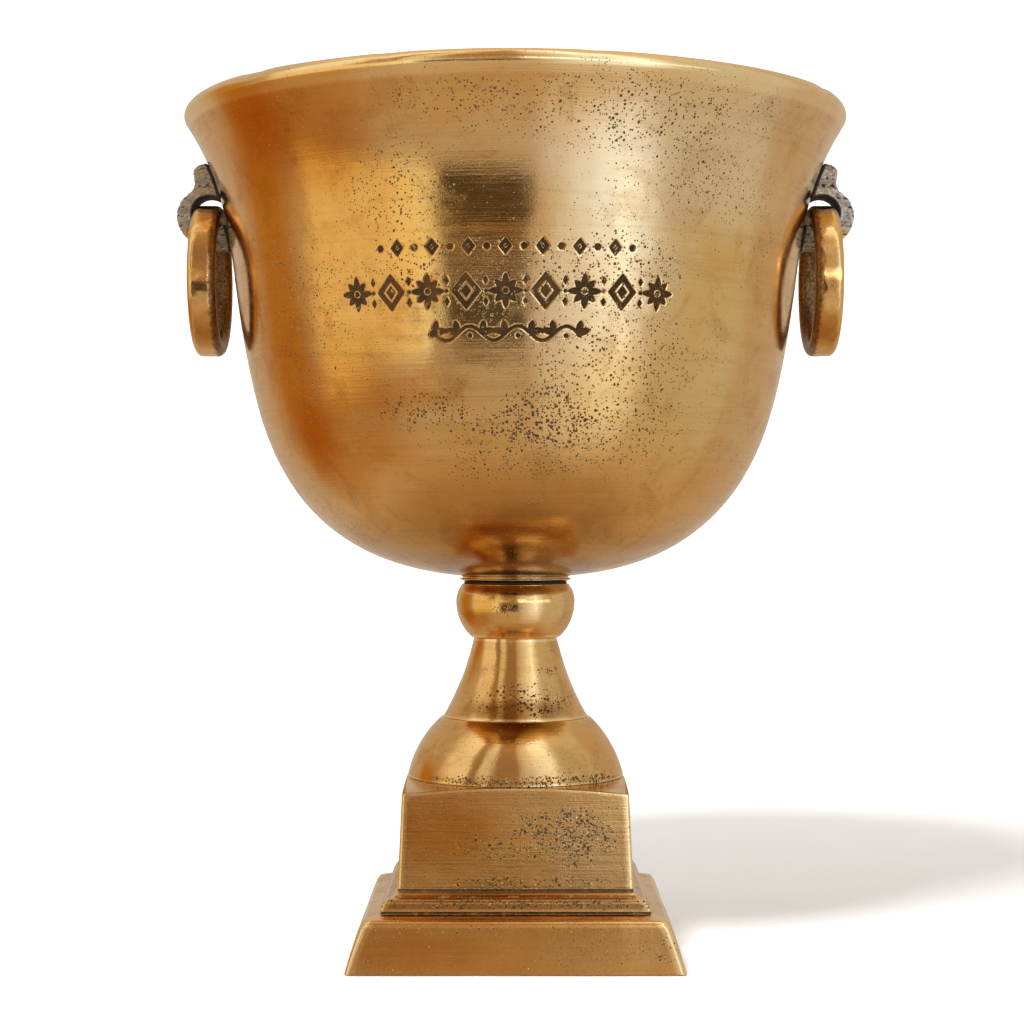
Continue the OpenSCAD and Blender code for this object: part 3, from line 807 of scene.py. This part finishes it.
def build_plinth():
    tier_h, tier_half, block_half, block_top = 28.4, 84.2, 65.3, 62.9
    foot_z, top_z = plinth_lo[2], dome_z
    ceiling = top_z - 7
    thick = 4.5
    crown_r, crown_rise = 550.0, 3.3
    block_foot = tier_h + 14
    m = block_half
    side = rounded(join(
        (base_half, foot_z), arc((base_half - 0.3, foot_z + 1.0), (tier_half + 0.9, tier_h - 3.4), 0.25, 16),
        turn((tier_half - 3, tier_h - 3), 3, 17, 83, 9),
        (m + 10.0, tier_h + 1.5), (m + 8.6, tier_h + 1.9), (m + 8.5, tier_h + 2.8), (m + 9.4, tier_h + 3.3),
        line((m + 9.2, tier_h + 3.9), (m + 7.5, tier_h + 7.8), 7), (m + 6.5, tier_h + 8.6),
        arc((m + 6.4, tier_h + 9.4), (m + 0.9, tier_h + 12.0), -0.8, 9),
        (m - 0.6, tier_h + 12.5), (m - 0.7, tier_h + 13.5), (m, tier_h + 14.2),
        line((m - 0.1, tier_h + 16), (block_top + 0.05, top_z - 1.6), 18), (block_top, top_z),
        (block_top - 0.5, top_z),
    ), 0.8, 5)
    hollow = join(
        (58.4, ceiling), (block_half - thick, tier_h + thick), (tier_half - thick, tier_h - thick),
        (base_half - thick, foot_z + 0.4), (base_half - thick + 0.4, foot_z),
    )
    closed = np.vstack([side, hollow])
    wear_and_highlight, dirt_and_shade = shape_signs(counter_clockwise(closed), 1.7)
    if not np.allclose(counter_clockwise(closed), closed):
        wear_and_highlight, dirt_and_shade = wear_and_highlight[::-1], dirt_and_shade[::-1]
    side_steps, corner_steps = 44, 8
    loops, loop_wear_and_highlight, loop_dirt_and_shade = [], [], []

    def crown_z(plan):
        """Height of the slightly domed top of the block."""
        return top_z + crown_rise - crown_r + np.sqrt(crown_r ** 2 - np.sum(plan ** 2, 1))

    def corner_radius(z):
        return float(np.interp(z, [foot_z, tier_h, tier_h + 4, top_z], [3.2, 5.0, 2.2, 1.9]))

    def add_loop(plan, height, wear_and_highlight_level, dirt_and_shade_level):
        every = np.ones(len(plan))
        loops.append(np.column_stack([plan, height * every]))
        loop_wear_and_highlight.append(wear_and_highlight_level * every)
        loop_dirt_and_shade.append(dirt_and_shade_level * every)

    def add_square(half, z, wear_and_highlight_level, dirt_and_shade_level, crowned):
        plan, corner = square_loop(half, corner_radius(z), side_steps, corner_steps)
        # the sides were trued up by hand, so they are not quite straight
        bow = 1 + 0.0035 * waves(np.column_stack([plan, np.full(len(plan), z)]), 21, 150, 2)
        plan = plan * bow[:, None]
        if crowned and z > block_foot:
            share = min((z - block_foot) / (top_z - block_foot), 1)
            z = block_foot + (np.minimum(crown_z(plan), top_z) - block_foot) * share
        # the rounded corners are brightened like rubbed edges, which also paints highlights down them
        add_loop(plan, z, np.maximum(wear_and_highlight_level, 0.75 * corner), dirt_and_shade_level)

    def add_round(radius, z):
        plan, _ = square_loop(1.0, 0.2, side_steps, corner_steps)
        add_loop(plan / np.hypot(*plan.T)[:, None] * radius, z, 0, 0)

    def add_seat(share):
        """From the square top edge in to the round seat of the dome, following the crown."""
        half = block_top - 0.55
        square, _ = square_loop(half, corner_radius(top_z), side_steps, corner_steps)
        around = square / np.hypot(*square.T)[:, None] * (half - 0.45)
        plan = square * (1 - share) + around * share
        # painted shade: darker towards the round seat where the dome stands on the block
        add_loop(plan, np.minimum(crown_z(plan) + 0.22 * share, top_z + 0.03), 0, 0.55 * share ** 3)

    for (half, z), w, d in zip(side, wear_and_highlight, dirt_and_shade):
        add_square(half, z, w, d, True)
    for share in (0.15, 0.35, 0.55, 0.75, 0.9, 1.0):
        add_seat(share)
    for radius, z in ((57.4, top_z), (56.3, top_z), (56.3, top_z + 1.9), (bore, top_z + 1.9), (bore, ceiling),
                      (30, ceiling)):
        add_round(radius, z)
    for (half, z), w, d in zip(hollow, wear_and_highlight[len(side):], dirt_and_shade[len(side):]):
        add_square(half, z, w * 0.3, 0.5, False)
    columns = len(loops[0])
    points = np.vstack(loops)
    faces = grid_faces(len(loops), columns)
    # bosses under the four corners carry the felt pads
    pad_hi = low_high("foot_pads")[1]
    corner_at = base_half - 15
    boss_r, pad_r = 11.0, pad_hi[0] - corner_at
    boss = join(
        (0.01, pad_hi[2] + 0.1), (pad_r + 0.12, pad_hi[2] + 0.1), (pad_r + 0.15, foot_z + 0.2),
        (pad_r + 0.4, foot_z + 0.02), (boss_r - 0.4, foot_z + 0.02), (boss_r, foot_z + 0.5),
        (boss_r, tier_h - 5), (0.01, tier_h - 5),
    )
    all_points, all_faces = [points], [faces]
    all_wear_and_highlight, all_dirt_and_shade = [np.concatenate(loop_wear_and_highlight)], [np.concatenate(loop_dirt_and_shade)]
    start = len(points)
    for sx in (-1, 1):
        for sy in (-1, 1):
            p = lathe_points(boss[::-1], 48) + [sx * corner_at, sy * corner_at, 0]
            limit = np.interp(p[:, 2], [foot_z, tier_h], [base_half - thick + 1.2, tier_half - thick + 1.2])
            p[:, 0] = np.clip(p[:, 0], -limit, limit)
            p[:, 1] = np.clip(p[:, 1], -limit, limit)
            all_points.append(p)
            all_faces.append(grid_faces(len(boss), 48) + start)
            all_wear_and_highlight.append(np.zeros(len(p)))
            all_dirt_and_shade.append(np.full(len(p), 0.4))
            start += len(p)
    return make_object(
        "plinth_casting", np.vstack(all_points), np.vstack(all_faces).tolist(),
        {"wear_and_highlight": np.concatenate(all_wear_and_highlight), "dirt_and_shade": np.concatenate(all_dirt_and_shade)},
    )


plinth_brass = brass(
    "plinth_brass", "level", rough=0.15, pit_share=0.32, grain=0.32, seed=2.0, drag=0.18, age=0.7, dirt_and_shade_strength=0.62,
    pits=(
        ((0.034, -0.064, 0.073), (0.050, 0.03, 0.020), 0.68),
        ((0.010, -0.065, 0.064), (0.070, 0.03, 0.014), 0.52),
        ((0.0, -0.066, 0.046), (0.080, 0.03, 0.006), 0.58),
        ((0.0, -0.072, 0.0355), (0.160, 0.04, 0.0045), 0.60),
        ((0.0, -0.086, 0.024), (0.120, 0.03, 0.004), 0.40),
        ((0.078, -0.09, 0.014), (0.03, 0.03, 0.018), 0.40),
        ((-0.064, 0.02, 0.07), (0.02, 0.05, 0.02), 0.7),
        ((0.02, 0.064, 0.06), (0.05, 0.02, 0.02), 0.7),
    ),
    # the amber patches are tarnish that also paints the left side darker and warmer, as painted shade
    amber=(
        ((-0.045, -0.065, 0.075), (0.04, 0.03, 0.03), 0.8),
        ((-0.06, -0.09, 0.012), (0.05, 0.03, 0.012), 0.5),
        ((-0.07, 0.0, 0.06), (0.01, 0.08, 0.04), 0.5),
    ),
    # the cream patches are pale rubbed patches that also paint a sheen on the front right
    cream=(
        ((0.05, -0.07, 0.06), (0.04, 0.03, 0.05), 0.30),
        ((0.06, -0.09, 0.014), (0.05, 0.03, 0.014), 0.12),
    ),
    umber=(((0.0, 0.0, 0.0365), (0.26, 0.26, 0.008), 0.45),),
)
wrap(build_plinth(), plinth_brass, "stand", "plinth")


# ---------------------------------------------------------------- ring handles

def build_ring(side, seed):
    """A swinging ring whose outer band was filed by hand into uneven facets."""
    lo, hi = low_high(side + "_ring")
    centre = (lo + hi) / 2
    outer, half_w = (hi[2] - lo[2]) / 2, (hi[0] - lo[0]) / 2
    thick, corner = 9.5, 4.0
    inner = outer - thick
    section = join(
        turn((outer - corner, half_w - corner), corner, 90, 0, 9),
        line((outer, half_w - corner - 1), (outer, -half_w + corner + 1), 7),
        turn((outer - corner, -half_w + corner), corner, 0, -90, 9),
        turn((inner + corner, -half_w + corner), corner, -90, -180, 9),
        line((inner, -half_w + corner + 1), (inner, half_w - corner - 1), 7),
        turn((inner + corner, half_w - corner), corner, 180, 90, 9),
    )
    columns = 300
    angle = np.arange(columns) * 2 * math.pi / columns
    r, across = section[:, 0][:, None], section[:, 1][:, None]
    local = np.stack([across + 0 * angle, r * np.cos(angle), r * np.sin(angle)], -1).reshape(-1, 3)
    rng = np.random.default_rng(seed)
    facets = 34
    for k in range(facets):
        a = (k + rng.uniform(-0.3, 0.3)) * 2 * math.pi / facets
        tip = rng.uniform(-0.22, 0.22) + (0.16 if k % 2 else -0.10)
        normal = np.array([math.sin(tip), math.cos(tip) * math.cos(a), math.cos(tip) * math.sin(a)])
        support = (local @ normal).max()
        cut = support - rng.uniform(0.10, 0.34)
        over = np.maximum(local @ normal - cut, 0)
        local -= over[:, None] * normal
    # a crust in the bore and on the side that faces the bowl
    inward = 1 if side == "left" else -1
    radius = np.hypot(local[:, 1], local[:, 2])
    bore_side = np.clip((outer - 2.4 - radius) / 3.0, 0, 1)
    wall_side = np.clip(local[:, 0] * inward / half_w * 1.7 - 0.2, 0, 1)
    patina = np.maximum(bore_side, 0.85 * wall_side)
    push = 0.12 * waves(local, seed + 5, 5.0, 3) * patina * np.sign(radius - (outer + inner) / 2)
    local[:, 1:] *= (1 + push / radius)[:, None]
    wear_and_highlight, _ = shape_signs(counter_clockwise(section), 2.5)
    return make_object(
        side + "_ring_handle", local + centre, grid_faces(len(section), columns).tolist(),
        {"wear_and_highlight": 0.25 * np.repeat(wear_and_highlight, columns), "patina": patina},
    )


def ring_material():
    """Polished brass outside, with a brown crust in the bore and on the side that faces the bowl."""
    material = brass("ring_brass", rough=0.09, pit_share=0.22, grain=0.3, seed=3.0)
    n = Nodes(material.node_tree, clear=False)
    surface = n.tree.nodes["Principled BSDF"].inputs
    here = n.place()
    ragged = n.add(n.attribute("patina"), n.mul(n.add(n.noise(here, 260, 4, 0.7), -0.5), 0.9))
    cover = n.range(ragged, 0.45, 0.85)
    grain = n.range(n.noise(here, 700, 4, 0.7), 0.36, 0.68)
    crust = n.mix(grain, (0.11, 0.05, 0.02), (0.34, 0.20, 0.10))
    n.rework(surface["Base Color"], lambda old: n.mix(n.mul(cover, 0.92), old, crust))
    n.rework(surface["Roughness"], lambda old: n.blend(cover, old, 0.38))
    relief = n.mul(n.noise(here, 420, 4, 0.7), cover)
    n.rework(surface["Normal"], lambda old: n.bump(relief, 0.5, 0.0006, old))
    return material


ring_brass = ring_material()
for side, seed in (("left", 31), ("right", 47)):
    wrap(build_ring(side, seed), ring_brass, side + "_handle", side + "_ring")


# ---------------------------------------------------------------- brackets

def silver(name):
    """Worn antique silver over brass: bright bumps, black hollows, and painted shade near the bowl wall and
    inside the eye.
    """
    material, n, surface = new_material(name)
    here = n.place()
    cloud = n.noise(here, 260, 5, 0.72)
    # this attribute holds the black of the vein hollows and the painted shade near the bowl wall and in the
    # eye
    hollow = n.attribute("dirt_and_shade")
    gilt = n.attribute("gilt")
    dark = n.range(n.add(hollow, n.mul(n.add(cloud, -0.5), 1.3)), 0.20, 0.62)
    tone = n.mix(n.range(cloud, 0.35, 0.7), (0.36, 0.30, 0.24), (0.62, 0.57, 0.50))
    bare = n.range(n.add(gilt, n.mul(n.add(cloud, -0.5), 0.6)), 0.4, 0.7)
    tone = n.mix(n.mul(bare, 0.9), tone, (0.72, 0.42, 0.14))
    tone = n.mix(n.mul(dark, 0.94), tone, (0.02, 0.015, 0.012))
    n.put(surface["Base Color"], tone)
    n.put(surface["Metallic"], n.blend(dark, 1.0, 0.4))
    n.put(surface["Roughness"], n.blend(dark, n.range(cloud, 0.2, 0.8, 0.22, 0.42), 0.7))
    first = n.bump(cloud, 0.6, 0.0008)
    n.put(surface["Normal"], n.bump(n.noise(here, 800, 3, 0.6), 0.4, 0.0004, first))
    return material


def build_bracket(side):
    """The CAD bracket's shape, re-meshed finely, with leaf veins and hammer marks carved in."""
    sign = 1 if side == "right" else -1
    source = frame["nodes"][side + "_bracket"]
    mesh = source.data.copy()
    mesh.attributes.active_color = None
    obj = bpy.data.objects.new(side + "_leaf_bracket", mesh)
    bpy.context.scene.collection.objects.link(obj)
    remesh = obj.modifiers.new("remesh", "REMESH")
    remesh.mode = "VOXEL"
    remesh.voxel_size = 0.0005
    smooth = obj.modifiers.new("smooth", "CORRECTIVE_SMOOTH")
    smooth.iterations = 10
    smooth.use_only_smooth = True
    smooth.factor = 0.6
    dg = bpy.context.evaluated_depsgraph_get()
    made = bpy.data.meshes.new_from_object(obj.evaluated_get(dg))
    bpy.data.objects.remove(obj)
    co = vectors(made.vertices, "co") / MM
    normal = vectors(made.vertices, "normal")
    polygons = [list(p.vertices) for p in made.polygons]
    bpy.data.meshes.remove(made)
    pivot = np.array(hinge[side + "_ring_swing"]["pos_m"]) / MM
    x = (co[:, 0] - pivot[0]) * sign
    y, z = co[:, 1], co[:, 2] - pivot[2]
    eye = np.hypot(x, z)
    vein_pitch, bead_pitch = 5.2, 2.7
    outside = np.clip((eye - 10.4) / 1.5, 0, 1)
    away = co[:, 0] * sign - outer_radius(co[:, 2])
    free = np.clip((away - 1.2) / 1.5, 0, 1)
    # a raised rib down the middle, slanting veins each side of it, and a beaded edge
    rib = np.exp(-((y / 1.3) ** 2))
    vein = 0.5 + 0.5 * np.sin((z + 1.25 * np.abs(y)) * 2 * math.pi / vein_pitch)
    edge = np.clip((np.abs(y) - 6.2) / 1.2, 0, 1) * (0.5 + 0.5 * np.sin(z * 2 * math.pi / bead_pitch))
    hammer = waves(co, 61 + sign, 2.6, 3)
    lift = 0.40 * rib + 0.36 * (vein - 0.6) * (1 - rib) + 0.25 * edge + 0.16 * hammer - 0.40
    co = co + normal * (lift * outside * free)[:, None]
    hollow = np.clip(0.36 - 0.75 * vein - 0.4 * hammer, 0, 1) * (1 - rib) * outside
    # painted shade: dark where the bracket comes close to the bowl wall, and inside the eye where the ring
    # passes
    shade = np.maximum(hollow, np.clip(1.2 - away / 2.6, 0, 1))
    shade = np.maximum(shade, np.clip((11.4 - eye) / 1.5, 0, 1))
    gilt = np.clip((-z - 8.0) / 4.0, 0, 1) * np.clip((x - 2) / 5, 0, 1)
    return make_object(side + "_leaf_bracket", co, polygons, {"dirt_and_shade": shade, "gilt": gilt})


bracket_silver = silver("bracket_silver")
for side in ("left", "right"):
    wrap(build_bracket(side), bracket_silver, "stand", side + "_bracket")


# ---------------------------------------------------------------- hardware that stays as the CAD has it

def plain(name, noise, low, high, rough, relief=None):
    """Two tones mixed by one noise. rough is a number or a range, relief a strength and a depth in metres."""
    material, n, surface = new_material(name)
    cloud = n.noise(n.place(), *noise)
    n.put(surface["Base Color"], n.mix(cloud, low, high))
    n.put(surface["Roughness"], n.range(cloud, 0.3, 0.7, *rough) if isinstance(rough, tuple) else rough)
    if relief:
        n.put(surface["Normal"], n.bump(cloud, *relief))
    return material


def zinc(name):
    material, n, surface = new_material(name)
    here = n.place()
    cloud = n.noise(here, 180, 4, 0.65)
    thread = n.noise(n.vector("MULTIPLY", here, (30, 30, 1400)), 1.0, 2, 0.5)
    tone = n.mix(n.range(cloud, 0.4, 0.7), (0.62, 0.63, 0.64), (0.40, 0.38, 0.35))
    n.put(surface["Base Color"], tone)
    surface["Metallic"].default_value = 1.0
    n.put(surface["Roughness"], n.range(cloud, 0.3, 0.7, 0.25, 0.5))
    n.put(surface["Normal"], n.bump(n.add(thread, n.mul(cloud, 0.5)), 0.5, 0.0004))
    return material


black_rubber = plain(
    "black_rubber", (240, 4, 0.6), (0.012, 0.011, 0.010), (0.035, 0.032, 0.028), (0.5, 0.75), (0.3, 0.0004),
)
grey_felt = plain(
    "grey_felt", (1500, 4, 0.75, 1.2), (0.05, 0.045, 0.04), (0.13, 0.12, 0.11), 0.95, (0.9, 0.0008),
)
zinc_steel = zinc("zinc_steel")
fastener_brass = brass("fastener_brass", rough=0.24, pit_share=0.12, grain=0.5, seed=4.0)

gasket = lathe("foot_gasket_ring", gasket_outline, 128, reach=0.8)
wrap(gasket, black_rubber, "stand", "foot_gasket")
dress = (
    (zinc_steel, "zinc_steel", ("tie_rod", "base_washer", "lock_washer", "base_nut")),
    (black_rubber, "black_rubber", ("bowl_seal", "left_screw_seals", "right_screw_seals")),
    (fastener_brass, "fastener_brass", ("bowl_washer", "cap_nut", "left_screws", "right_screws")),
    (grey_felt, "grey_felt", ("foot_pads",)),
)
for material, slot, nodes in dress:
    for node in nodes:
        obj = frame["nodes"][node]
        paint(obj, material)
        bevel = obj.modifiers.new("soft_edges", "BEVEL")
        bevel.width = 0.0003 if any(word in node for word in ("screw", "washer", "seal")) else 0.0005
        bevel.segments = 2
        bevel.limit_method = "ANGLE"
        bevel.angle_limit = math.radians(38)


# ---------------------------------------------------------------- floor, light and camera

flat_r, bend_r = 2300, 1300
sweep_outline = join(
    line((0.001, 0), (flat_r, 0), 12), turn((flat_r, bend_r), bend_r, -90, 0, 24), (flat_r + bend_r, 3000),
)
sweep_points = lathe_points(sweep_outline, 96)
floor = make_object("floor_sweep", sweep_points, grid_faces(len(sweep_outline), 96, False).tolist())
floor_grey = 0.93
floor.data.materials.append(
    plain("pale_floor", (3, 3, 0.5), (floor_grey,) * 3, (floor_grey * 0.985,) * 3, 0.85)
)
floor.visible_glossy = False

world = bpy.data.worlds.new("studio")
world.use_nodes = True
bpy.context.scene.world = world
w = Nodes(world.node_tree)
direction = w.new("TexCoord").outputs["Generated"]
dx, dy, dz = w.split(direction)
flat = w.math("MAXIMUM", w.math("SQRT", w.add(w.mul(dx, dx), w.mul(dy, dy))), 0.0001)
height = w.mul(w.math("ARCSINE", dz), 180 / math.pi)


def window(azimuth, half, soft, low, high, soft_height):
    """1 inside a soft-edged window of the sky. Azimuth 0 is towards the camera and grows to the right."""
    a = math.radians(azimuth)
    level = w.math("DIVIDE", w.add(w.mul(dx, math.sin(a)), w.mul(dy, -math.cos(a))), flat)
    angle = w.mul(w.math("ARCCOSINE", w.math("MINIMUM", w.math("MAXIMUM", level, -1.0), 1.0)), 180 / math.pi)
    across = w.range(angle, half + soft / 2, max(half - soft / 2, 0))
    above = w.range(height, low - soft_height / 2, low + soft_height / 2)
    below = w.range(height, high + soft_height / 2, high - soft_height / 2)
    return w.mul(across, w.mul(above, below))


ramp = w.new("ValToRGB")
w.put(ramp.inputs[0], w.math("DIVIDE", w.add(height, 90), 180))
ramp.color_ramp.interpolation = "EASE"
stops = (
    (-90, (0.34, 0.19, 0.09)), (-66, (0.46, 0.31, 0.17)), (-45, (0.60, 0.48, 0.34)),
    (-22, (0.58, 0.50, 0.42)), (5, (0.60, 0.52, 0.42)), (38, (0.62, 0.54, 0.44)), (65, (0.84, 0.68, 0.48)),
    (90, (0.92, 0.76, 0.54)),
)
elements = ramp.color_ramp.elements
while len(elements) < len(stops):
    elements.new(0.5)
for element, (degrees, colour) in zip(elements, stops):
    element.position = (degrees + 90) / 180
    element.color = (*colour, 1)
sky = ramp.outputs[0]
# Windows of the sky, in order: a blend, its colour, and the place as window() takes it
sky_windows = (
    # right soft box with its bright middle, then the weaker wall beside it
    ("ADD", (0.20, 0.30, 0.42), 34, 22, 12, -46, 110, 30),
    ("ADD", (0.34, 0.50, 0.72), 40, 13, 22, -34, 110, 34),
    ("ADD", (0.30, 0.36, 0.40), 43, 3, 3, -16, 40, 10),
    ("ADD", (0.50, 0.60, 0.64), 14, 9, 5, -1, 14, 5),
    ("ADD", (0.30, 0.36, 0.40), 34, 12, 8, 50, 110, 12),
    ("ADD", (0.80, 0.95, 0.95), 36, 33, 8, 1.5, 9, 2),
    ("ADD", (0.06, 0.14, 0.18), 82, 26, 12, -42, 60, 36),
    # left soft box: golden, with a bright strip along its inner edge
    ("MULTIPLY", (0.88, 0.64, 0.36), -92, 34, 26, -44, -14, 14),
    ("ADD", (0.34, 0.26, 0.02), -64, 26, 10, -19, 14, 5),
    ("ADD", (0.40, 0.44, 0.46), -73, 20, 10, 14, 110, 14),
    ("MULTIPLY", (0.60, 0.47, 0.34), -50, 7, 5, 8, 110, 8),
    ("ADD", (0.14, 0.20, 0.18), -40, 8, 8, -21, 6, 8),
    ("ADD", (0.30, 0.36, 0.30), -35, 3.5, 3, -20, 1, 6),
    ("ADD", (0.22, 0.28, 0.24), -35, 6, 4, 6, 110, 6),
    ("MULTIPLY", (0.85, 0.50, 0.12), -112, 16, 22, -30, 18, 16),
    # the dark gap round the camera
    ("MULTIPLY", (0.15, 0.14, 0.12), -12.5, 18, 5, -20, -5.5, 2),
    ("MULTIPLY", (0.76, 0.60, 0.46), -11, 15, 6, -5, 24, 3),
    ("MULTIPLY", (0.62, 0.47, 0.34), -11, 15, 5, 24, 110, 3),
    ("ADD", (0.30, 0.30, 0.18), -22, 14, 6, 1.5, 9, 2),
)
for blend, colour, *where in sky_windows:
    sky = w.mix(window(*where), sky, colour, blend)
background = w.new("Background")
w.put(background.inputs["Color"], sky)
# the walls give more glow to the metal than they give light to the floor
spread = w.new("LightPath").outputs["Is Diffuse Ray"]
w.put(background.inputs["Strength"], w.blend(spread, 1.0, 0.42))
world_out = w.new("OutputWorld")
w.tree.links.new(background.outputs[0], world_out.inputs[0])


def soft_light(name, place, aim, size, power):
    lamp = bpy.data.lights.new(name, "AREA")
    lamp.shape = "DISK"
    lamp.size = size
    lamp.energy = power
    obj = bpy.data.objects.new(name, lamp)
    obj.location = place
    obj.rotation_euler = (Vector(aim) - Vector(place)).to_track_quat("-Z", "Y").to_euler()
    obj.visible_glossy = False
    bpy.context.scene.collection.objects.link(obj)


soft_light("key_light", (-0.8, -1.5, 2.3), (0, 0, 0.1), 0.6, 84)
soft_light("sweep_light", (0, 2.2, 2.9), (0, 3.4, 0), 2.4, 50)

camera_data = bpy.data.cameras.new("camera")
camera_data.sensor_width = 36
camera_data.lens = 79.1
camera_data.shift_x = -0.0034
camera_data.shift_y = 0.0068
camera_data.clip_end = 50
camera = bpy.data.objects.new("camera", camera_data)
camera.location = (0, -1.305, 0.2465)
camera.rotation_euler = (math.pi / 2, 0, 0)
bpy.context.scene.collection.objects.link(camera)
bpy.context.scene.camera = camera
bpy.context.scene.view_settings.view_transform = "Standard"
